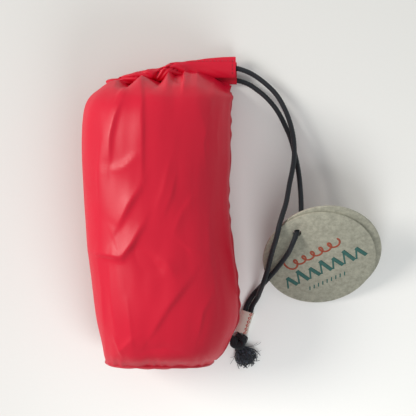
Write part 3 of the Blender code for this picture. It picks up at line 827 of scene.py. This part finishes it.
def carried_frames(path):
    """Tangent, side and up at each point, carried along without twisting."""
    tangents = np.gradient(path, axis=0)
    tangents /= np.linalg.norm(tangents, axis=1)[:, None]
    side = np.cross(tangents[0], (0.0, 0.0, 1.0))
    if np.linalg.norm(side) < 0.1:
        side = np.cross(tangents[0], (1.0, 0.0, 0.0))
    sides = []
    for tangent in tangents:
        side = side - tangent * (side @ tangent)
        side = side / np.linalg.norm(side)
        sides.append(side)
    sides = np.array(sides)
    return tangents, sides, np.cross(tangents, sides)


def cord_mesh(name, route, diameter, sides=28):
    """A braided cord along a route in mm, as a closed tube whose yarns cross over and under."""
    yarns, pitch = 8, 0.0085
    path, length = even_route(route, 0.00055)
    _, side, up = carried_frames(path)
    steps = len(path) - 1

    def place(u, v):
        k = np.rint(v * steps).astype(int)
        angle = 2 * np.pi * u
        run = v * length
        twist = 2 * np.pi * run / pitch
        one = np.cos(yarns / 2 * (angle + twist))
        other = np.cos(yarns / 2 * (angle - twist))
        radius = diameter / 2 * (0.955 + 0.045 * np.maximum(one, other) + 0.015 * one * other)
        end = np.minimum(v, 1 - v) * length / (diameter / 2)
        radius = radius * np.sqrt(np.clip(1 - (1 - np.clip(end * 2.2, 0, 1)) ** 2, 0.02, 1))
        ring = side[k] * np.cos(angle)[:, None] + up[k] * np.sin(angle)[:, None]
        return path[k] + ring * radius[:, None]

    piece = formed_grid(name, sides, steps, place, (math.pi * diameter, length))
    close_up(piece)
    fill_ends(piece)
    smooth(piece, 70)
    return piece


# ---- tags


def tag_matrix(name):
    """From a tag's own frame, with the hole at the origin and its face up, to the row frame."""
    normal = Vector((0, -math.sin(TAG_TILT), math.cos(TAG_TILT)))
    uphill = Vector((0, math.cos(TAG_TILT), math.sin(TAG_TILT)))
    basis = Matrix((uphill.cross(normal), uphill, normal)).transposed()
    turned = Matrix.Rotation(TAG_TURNS[name], 3, normal) @ basis
    lift = TAG_GAP + sizes().board if name == "front_tag" else -TAG_GAP
    place = Vector(TAG_HOLE) * MM + normal * lift
    return Matrix.Translation(place) @ turned.to_4x4()


def make_tag(name):
    """A round board with softened edges, lying face up with its punched hole at the origin."""
    size = sizes()
    deselect()
    middle = (0, -size.hole_offset, -size.board / 2)
    bpy.ops.mesh.primitive_cylinder_add(
        vertices=128, radius=size.tag / 2, depth=size.board, location=middle
    )
    board = bpy.context.object
    board.name = name + "_board"
    bpy.ops.object.transform_apply(location=True, rotation=True, scale=True)
    bpy.ops.mesh.primitive_cylinder_add(vertices=48, radius=size.hole / 2, depth=size.board * 4)
    punch = bpy.context.object
    apply_modifier(board, "BOOLEAN", operation="DIFFERENCE", solver="EXACT", object=punch)
    bpy.data.objects.remove(punch, do_unlink=True)
    corners = {"limit_method": "ANGLE", "angle_limit": math.radians(50)}
    apply_modifier(board, "BEVEL", width=TAG_BEVEL, segments=2, **corners)
    smooth(board, 35)
    return board


def settle(piece, matrix):
    """Puts a piece's place into its mesh, so that its object stays at the origin."""
    piece.data.transform(matrix)
    piece.matrix_world = Matrix.Identity(4)
    piece.data.update()


def drawn_lines(name, radius, lines):
    """Round lines as one mesh. Each line has points in metres and a share of the radius for each."""
    curve = bpy.data.curves.new(name, "CURVE")
    curve.dimensions = "3D"
    curve.bevel_depth = radius
    curve.bevel_resolution = 1
    curve.use_fill_caps = True
    for points, shares in lines:
        line = curve.splines.new("POLY")
        line.points.add(len(points) - 1)
        for target, point, share in zip(line.points, points, shares):
            target.co = (*point, 1)
            target.radius = share
    piece = bpy.data.objects.new(name, curve)
    bpy.context.scene.collection.objects.link(piece)
    only(piece)
    bpy.ops.object.convert(target="MESH")
    return bpy.context.object


def ink_line(name, points, width):
    """A flat printed line in a tag's own frame, in mm from the tag's middle, as a thin mesh."""
    height, flatness, rise = 0.00002, 0.06, 0.00003
    line = [(x * MM, y * MM - sizes().hole_offset, height) for x, y in points]
    piece = drawn_lines(name, width * MM / 2, [(line, [1.0] * len(line))])
    for vertex in piece.data.vertices:
        vertex.co.z = rise + vertex.co.z * flatness
    return piece


def join(name, parts):
    """Makes one piece of several."""
    deselect()
    for part in parts:
        part.select_set(True)
    bpy.context.view_layer.objects.active = parts[0]
    if len(parts) > 1:
        bpy.ops.object.join()
    piece = bpy.context.object
    piece.name = name
    piece.data.name = name
    return piece


# ---- operators


class PieceOperator:
    """What the operators share."""

    bl_options = {"REGISTER", "UNDO"}


class STUFFSACK_OT_stage(PieceOperator, bpy.types.Operator):
    """Set the table, the studio light and the camera"""

    bl_idname = "stuff_sack.stage"
    bl_label = "Table, Light and Camera"

    def execute(self, context):
        scene = context.scene
        scene.view_settings.view_transform = "Standard"
        deselect()
        bpy.ops.mesh.primitive_plane_add(size=TABLE_SIDE, location=(0, 0, -TABLE_DROP))
        table = context.object
        table.name = "table"
        bpy.ops.object.transform_apply(location=True, rotation=True, scale=True)
        wear(table, matt_table("matt_painted_table", colours().table))

        world = bpy.data.worlds.new("studio")
        scene.world = world
        world.use_nodes = True
        backdrop = world.node_tree.nodes["Background"]
        backdrop.inputs["Color"].default_value = linear("F3F6F7")
        backdrop.inputs["Strength"].default_value = BACKDROP_STRENGTH

        self.area_light("window", **WINDOW_LIGHT)
        # light that has bounced about the room falls on the table alone
        glow = self.area_light("table_glow", **TABLE_GLOW)
        glow.visible_glossy = False
        lit = bpy.data.collections.new("table_only")
        lit.objects.link(table)
        glow.light_linking.receiver_collection = lit

        lens = bpy.data.cameras.new("camera")
        camera = bpy.data.objects.new("camera", lens)
        scene.collection.objects.link(camera)
        camera.location = CAMERA_PLACE
        lens.sensor_width = 36.0
        lens.lens = CAMERA_LENS
        lens.clip_start = 0.01
        scene.camera = camera
        return {"FINISHED"}

    def area_light(self, name, way, distance, size, power, tint):
        """A round light that stands off the object in a direction and faces it."""
        light = bpy.data.lights.new(name, "AREA")
        light.shape = "DISK"
        light.size = size
        light.energy = power
        light.color = linear(tint)[:3]
        lamp = bpy.data.objects.new(name, light)
        bpy.context.scene.collection.objects.link(lamp)
        way = Vector(way).normalized()
        lamp.location = Vector(LIGHT_AIM) + way * distance
        lamp.rotation_euler = way.to_track_quat("Z", "Y").to_euler()
        return lamp


class STUFFSACK_OT_strands(PieceOperator, bpy.types.Operator):
    """Lay the two free strands of the braided drawcord"""

    bl_idname = "stuff_sack.strands"
    bl_label = "Drawcord Strands"

    def execute(self, context):
        braid = braided_cord("braided_polyester_cord", colours().cord)
        for name, route in (("front_strand", FRONT_ROUTE), ("back_strand", BACK_ROUTE)):
            piece = cord_mesh(name + "_cord", route, sizes().cord)
            wear(piece, braid)
            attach(piece, "drawcord")
            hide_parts(name)
        return {"FINISHED"}


class STUFFSACK_OT_knot(PieceOperator, bpy.types.Operator):
    """Tie the end knot and fray the cord ends below it"""

    bl_idname = "stuff_sack.knot"
    bl_label = "Knot and Frayed Ends"

    def execute(self, context):
        braid = bpy.data.materials["braided_polyester_cord"]
        parts = []
        centre = np.array(KNOT_CENTRE) + np.array((-0.9, -0.9, 0.0))
        way = np.array(SLEEVE_WAY)
        right = np.array((way[1], -way[0], 0.0))
        for number, offset in enumerate((-1.0, 1.0)):
            route = []
            for k in range(22):
                t = k / 21
                turn = 2 * math.pi * (1.25 * t + 0.1) + number * 0.5
                reach = 3.1 + 0.9 * math.sin(2 * math.pi * 3 * t + number)
                along = 4.6 - 9.0 * t
                if 0.12 < t < 0.88:
                    along = 2.3 * math.cos(turn * 1.5)
                across = math.sin(turn) * reach * (0.35 if t in (0.0, 1.0) else 1.15) + offset * 1.0
                height = math.cos(turn) * 1.5
                route.append(centre + right * across + way * along + np.array((0, 0, height)))
            route[0] = centre + way * 5.0 + right * offset * 1.8 + np.array((0, 0, -2.0))
            parts.append(cord_mesh(f"knot_{number}", route, KNOT_CORD, sides=20))
        knot = join("overhand_knot", parts)
        wear(knot, braid)
        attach(knot, "drawcord")
        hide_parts("cord_knot")

        tuft = self.fray()
        wear(tuft, loose_yarn("unlaid_polyester_yarn", colours().cord))
        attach(tuft, "drawcord")
        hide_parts("frayed_ends")
        return {"FINISHED"}

    def fray(self):
        """Loose yarns that spread from the knot and curl round one another, with a few strays."""
        picks = random.Random(11)
        root = np.array(KNOT_CENTRE) + np.array((1.2, -3.6, -0.6))
        aim = np.array(FRAY_CENTRE) - root
        ahead = math.atan2(aim[1], aim[0])
        rows, steps = [], 11
        for number in range(170):
            stray = number % 17 == 0
            fan = picks.uniform(-0.95, 0.85)
            curl = picks.uniform(0.6, 2.6) * (1 if fan < 0 else -1) * (-0.4 if stray else 1.0)
            reach = picks.uniform(11, 14.5) if stray else picks.uniform(9.5, 17.0)
            rise = picks.uniform(0.3, 1.0)
            point = root + np.array((picks.uniform(-1.5, 1.5), picks.uniform(-0.5, 0.5), 0))
            points = []
            for k in range(steps + 1):
                t = k / steps
                heading = ahead + fan * 1.15 + curl * t * t * 1.3
                arch = math.sin(math.pi * (0.15 + 0.75 * t)) * (0.4 if stray else 1.0)
                points.append(np.array((point[0], point[1], 1.0 + rise * 5.4 * arch)) * MM)
                point = point + np.array((math.cos(heading), math.sin(heading), 0)) * reach / steps
            width = 0.28 if stray else picks.uniform(0.45, 0.95)
            rows.append((points, [width * (1 - 0.35 * k / len(points)) for k in range(len(points))]))
        piece = drawn_lines("frayed_yarn", 0.0005, rows)
        smooth(piece, 60)
        return piece


class STUFFSACK_OT_sleeve(PieceOperator, bpy.types.Operator):
    """Fold the ribbon sleeve round both strands"""

    bl_idname = "stuff_sack.sleeve"
    bl_label = "Ribbon Sleeve"

    def execute(self, context):
        length = sizes().sleeve / MM
        top = np.array(SLEEVE_TOP)
        way = np.array(SLEEVE_WAY)
        right = np.array((way[1], -way[0], 0.0))

        def place(u, v):
            angle = 2 * np.pi * u
            c = squared(np.cos(angle), 0.8)
            s = np.sin(angle)
            wrinkle = 0.12 * np.sin(v * 14 + c * 2) + 0.08 * np.sin(v * 31 + s)
            flare = 1 + 0.03 * np.cos(2 * np.pi * v)
            across = c * (4.35 + wrinkle) * flare
            height = s * (2.62 - 0.15 * np.abs(c) ** 2 + wrinkle * 0.4)
            crown = -0.08 * (1 - np.abs(np.cos(angle)) ** 3) * (s > 0)
            at = top + right * across[:, None] - way * (v * length)[:, None]
            at[:, 2] = np.maximum(top[2] + height + crown, 0.05)
            return at * MM

        ribbon = formed_grid("woven_ribbon", 48, 36, place, (RIBBON_TURN, sizes().sleeve))
        close_up(ribbon)
        thicken(ribbon, 0.00035)
        smooth(ribbon)
        wear(ribbon, cotton_ribbon("woven_cotton_ribbon", colours().ribbon, colours().ribbon_thread))
        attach(ribbon, "sleeve")
        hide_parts("ribbon_sleeve")
        return {"FINISHED"}


class STUFFSACK_OT_tags(PieceOperator, bpy.types.Operator):
    """Hang the two board tags, and print the front one"""

    bl_idname = "stuff_sack.tags"
    bl_label = "Hang Tags"

    def execute(self, context):
        board = greyboard("recycled_greyboard", colours().board)
        for name, body in (("front_tag", "tag_front"), ("back_tag", "tag_back")):
            tag = make_tag(name)
            settle(tag, tag_matrix(name))
            wear(tag, board)
            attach(tag, body)
            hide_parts(name)
        rust = printed_ink("rust_printing_ink", colours().rust_ink)
        teal = printed_ink("teal_printing_ink", colours().teal_ink)
        prints = (("printed_wave", self.wave(), rust), ("printed_tents", self.tents(), teal))
        for name, strokes, ink in prints:
            parts = [ink_line(f"{name}_{k}", line, width) for k, (line, width) in enumerate(strokes)]
            print_ = join(name, parts)
            settle(print_, tag_matrix("front_tag"))
            wear(print_, ink)
            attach(print_, "tag_front")
        return {"FINISHED"}

    def wave(self):
        """A looping ornamental line that starts with a tall loop."""
        line = []
        for k in range(201):
            t = k / 200
            turn = 2 * math.pi * 6 * t
            tall = 2.6 + 2.2 * max(0.0, 1 - 6 * t)
            line.append((-20 + 38 * t - 2.2 * math.sin(turn), 7.0 - 2.5 * t + tall * math.cos(turn)))
        return [(line, 1.35)]

    def tents(self):
        """A row of peaks, thin on their way up and thick on their way down, over a row of ticks."""
        strokes = []
        lean = math.radians(-7)
        for k in range(7):
            x = -29 + 8.4 * k
            tall = 10.5 if k % 2 else 8.5
            strokes.append((((x, -12), (x + 3.4, -12 + tall)), 1.2))
            strokes.append((((x + 3.2, -12 + tall), (x + 7.0, -12)), 2.8))
        for k in range(9):
            strokes.append((((-17 + 3.2 * k, -20.5), (-15.6 + 3.2 * k, -17.6)), 0.8))
        turned = []
        c, s = math.cos(lean), math.sin(lean)
        for line, width in strokes:
            turned.append(([(x * c - y * s, x * s + y * c) for x, y in line], width))
        return turned


class STUFFSACK_OT_cloth(PieceOperator, bpy.types.Operator):
    """Form the sack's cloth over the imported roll, with its base panel"""

    bl_idname = "stuff_sack.cloth"
    bl_label = "Sack Cloth"

    def execute(self, context):
        nylon = nylon_taffeta("dyed_nylon_taffeta", colours().nylon)
        wall = make_wall()
        thicken(wall, sizes().cloth)
        smooth(wall, 60)
        wear(wall, nylon)
        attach(wall, "sack")
        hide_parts("sack_wall")

        base = formed_grid("base_cloth", 120, 24, base_points, (0.20, 0.03))
        close_up(base)
        thicken(base, sizes().cloth)
        smooth(base)
        wear(base, nylon)
        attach(base, "sack")
        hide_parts("base_panel")
        return {"FINISHED"}


class STUFFSACK_OT_channel(PieceOperator, bpy.types.Operator):
    """Gather the drawcord channel round the mouth"""

    bl_idname = "stuff_sack.channel"
    bl_label = "Drawcord Channel"

    def execute(self, context):
        channel = formed_grid("channel_cloth", 56, 420, channel_points, (0.038, 0.29))
        close_up(channel)
        thicken(channel, sizes().cloth)
        smooth(channel, 70)
        wear(channel, bpy.data.materials["dyed_nylon_taffeta"])
        self.sew(channel)
        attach(channel, "sack")
        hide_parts("drawcord_channel")
        return {"FINISHED"}

    def sew(self, channel):
        """Rows of stitches on the front band: along its far edge and near its open end."""
        seats = []
        pitch = sizes().stitch / MM
        for k in range(int(80 / pitch)):
            seats.append(((47.2 - pitch * k, 99.3 - 0.0006 * (pitch * k) ** 2), (-1.0, 0.0)))
        for k in range(int(12.5 / pitch)):
            seats.append(((46.2, 99.0 - pitch * k), (0.0, -1.0)))
        threads = []
        for (x, y), (dx, dy) in seats:
            half = pitch * 0.32
            ends = []
            for sign in (-1, 1):
                start = Vector(((x + sign * dx * half) * MM, (y + sign * dy * half) * MM, 0.03))
                hit, place, normal, _ = channel.ray_cast(start, Vector((0, 0, -1)))
                if hit and normal.z > 0.3:
                    ends.append(place)
            if len(ends) == 2:
                arch = ((0, -0.00005), (0.3, 0.00012), (0.7, 0.00012), (1, -0.00005))
                line = [ends[0].lerp(ends[1], share) + Vector((0, 0, rise)) for share, rise in arch]
                threads.append((line, (1, 1, 1, 1)))
        piece = drawn_lines("channel_stitches", 0.00022, threads)
        smooth(piece, 60)
        wear(piece, overlock_thread("polyester_stitching", colours().seam))
        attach(piece, "sack")


class STUFFSACK_OT_seams(PieceOperator, bpy.types.Operator):
    """Sew the side seam and the base seam"""

    bl_idname = "stuff_sack.seams"
    bl_label = "Seams"

    def execute(self, context):
        thread = overlock_thread("overlocked_nylon_edge", colours().seam)
        side = formed_grid("side_seam_edge", 420, 10, side_seam_points, (0.19, 0.004))
        close_up(side)
        fill_ends(side)
        base = formed_grid("base_seam_edge", 320, 10, base_seam_points, (0.21, 0.004))
        close_up(base)
        for piece, node in ((side, "side_seam"), (base, "base_seam")):
            smooth(piece, 70)
            wear(piece, thread)
            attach(piece, "sack")
            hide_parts(node)
        return {"FINISHED"}


class STUFFSACK_OT_hidden(PieceOperator, bpy.types.Operator):
    """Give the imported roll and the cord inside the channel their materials"""

    bl_idname = "stuff_sack.hidden"
    bl_label = "Roll and Inner Cord"

    def execute(self, context):
        wear(bpy.data.objects["packed_roll"], packed_cotton("rolled_cotton_cloth"))
        wear(bpy.data.objects["cord_in_channel"], loose_yarn("inner_cord", colours().cord))
        return {"FINISHED"}


class STUFFSACK_OT_cord_facts(PieceOperator, bpy.types.Operator):
    """Gather the ribbon, the tag boards and their prints, which ride on the free cords"""

    bl_idname = "stuff_sack.cord_facts"
    bl_label = "Cord Lengths"

    def execute(self, context):
        found = bpy.data.objects
        on_back = [found[n] for n in ("woven_ribbon", "front_tag_board", "back_tag_board")]
        on_back += [found["printed_wave"], found["printed_tents"]]
        return {"FINISHED"}


OPERATORS = (
    STUFFSACK_OT_stage, STUFFSACK_OT_strands, STUFFSACK_OT_knot, STUFFSACK_OT_sleeve,
    STUFFSACK_OT_tags, STUFFSACK_OT_cloth, STUFFSACK_OT_channel, STUFFSACK_OT_seams,
    STUFFSACK_OT_hidden, STUFFSACK_OT_cord_facts,
)


class STUFFSACK_PT_panel(bpy.types.Panel):
    """Lists the pieces of the stuff sack"""

    bl_idname = "STUFFSACK_PT_panel"
    bl_label = "Stuff Sack"
    bl_space_type = "VIEW_3D"
    bl_region_type = "UI"
    bl_category = "Stuff Sack"

    def draw(self, context):
        layout = self.layout
        for operator in OPERATORS:
            layout.operator(operator.bl_idname)
        for group in (context.scene.stuff_sack_sizes, context.scene.stuff_sack_colours):
            box = layout.box()
            for key in group.__annotations__:
                box.prop(group, key)


CLASSES = (StuffSackSizes, StuffSackColours, *OPERATORS, STUFFSACK_PT_panel)


def register():
    for made in CLASSES:
        bpy.utils.register_class(made)
    bpy.types.Scene.stuff_sack_sizes = bpy.props.PointerProperty(type=StuffSackSizes)
    bpy.types.Scene.stuff_sack_colours = bpy.props.PointerProperty(type=StuffSackColours)


def unregister():
    del bpy.types.Scene.stuff_sack_colours
    del bpy.types.Scene.stuff_sack_sizes
    for made in reversed(CLASSES):
        bpy.utils.unregister_class(made)


def main():
    register()
    for operator in OPERATORS:
        call = bpy.ops
        for part in operator.bl_idname.split("."):
            call = getattr(call, part)
        call()


if __name__ == "__main__":
    main()
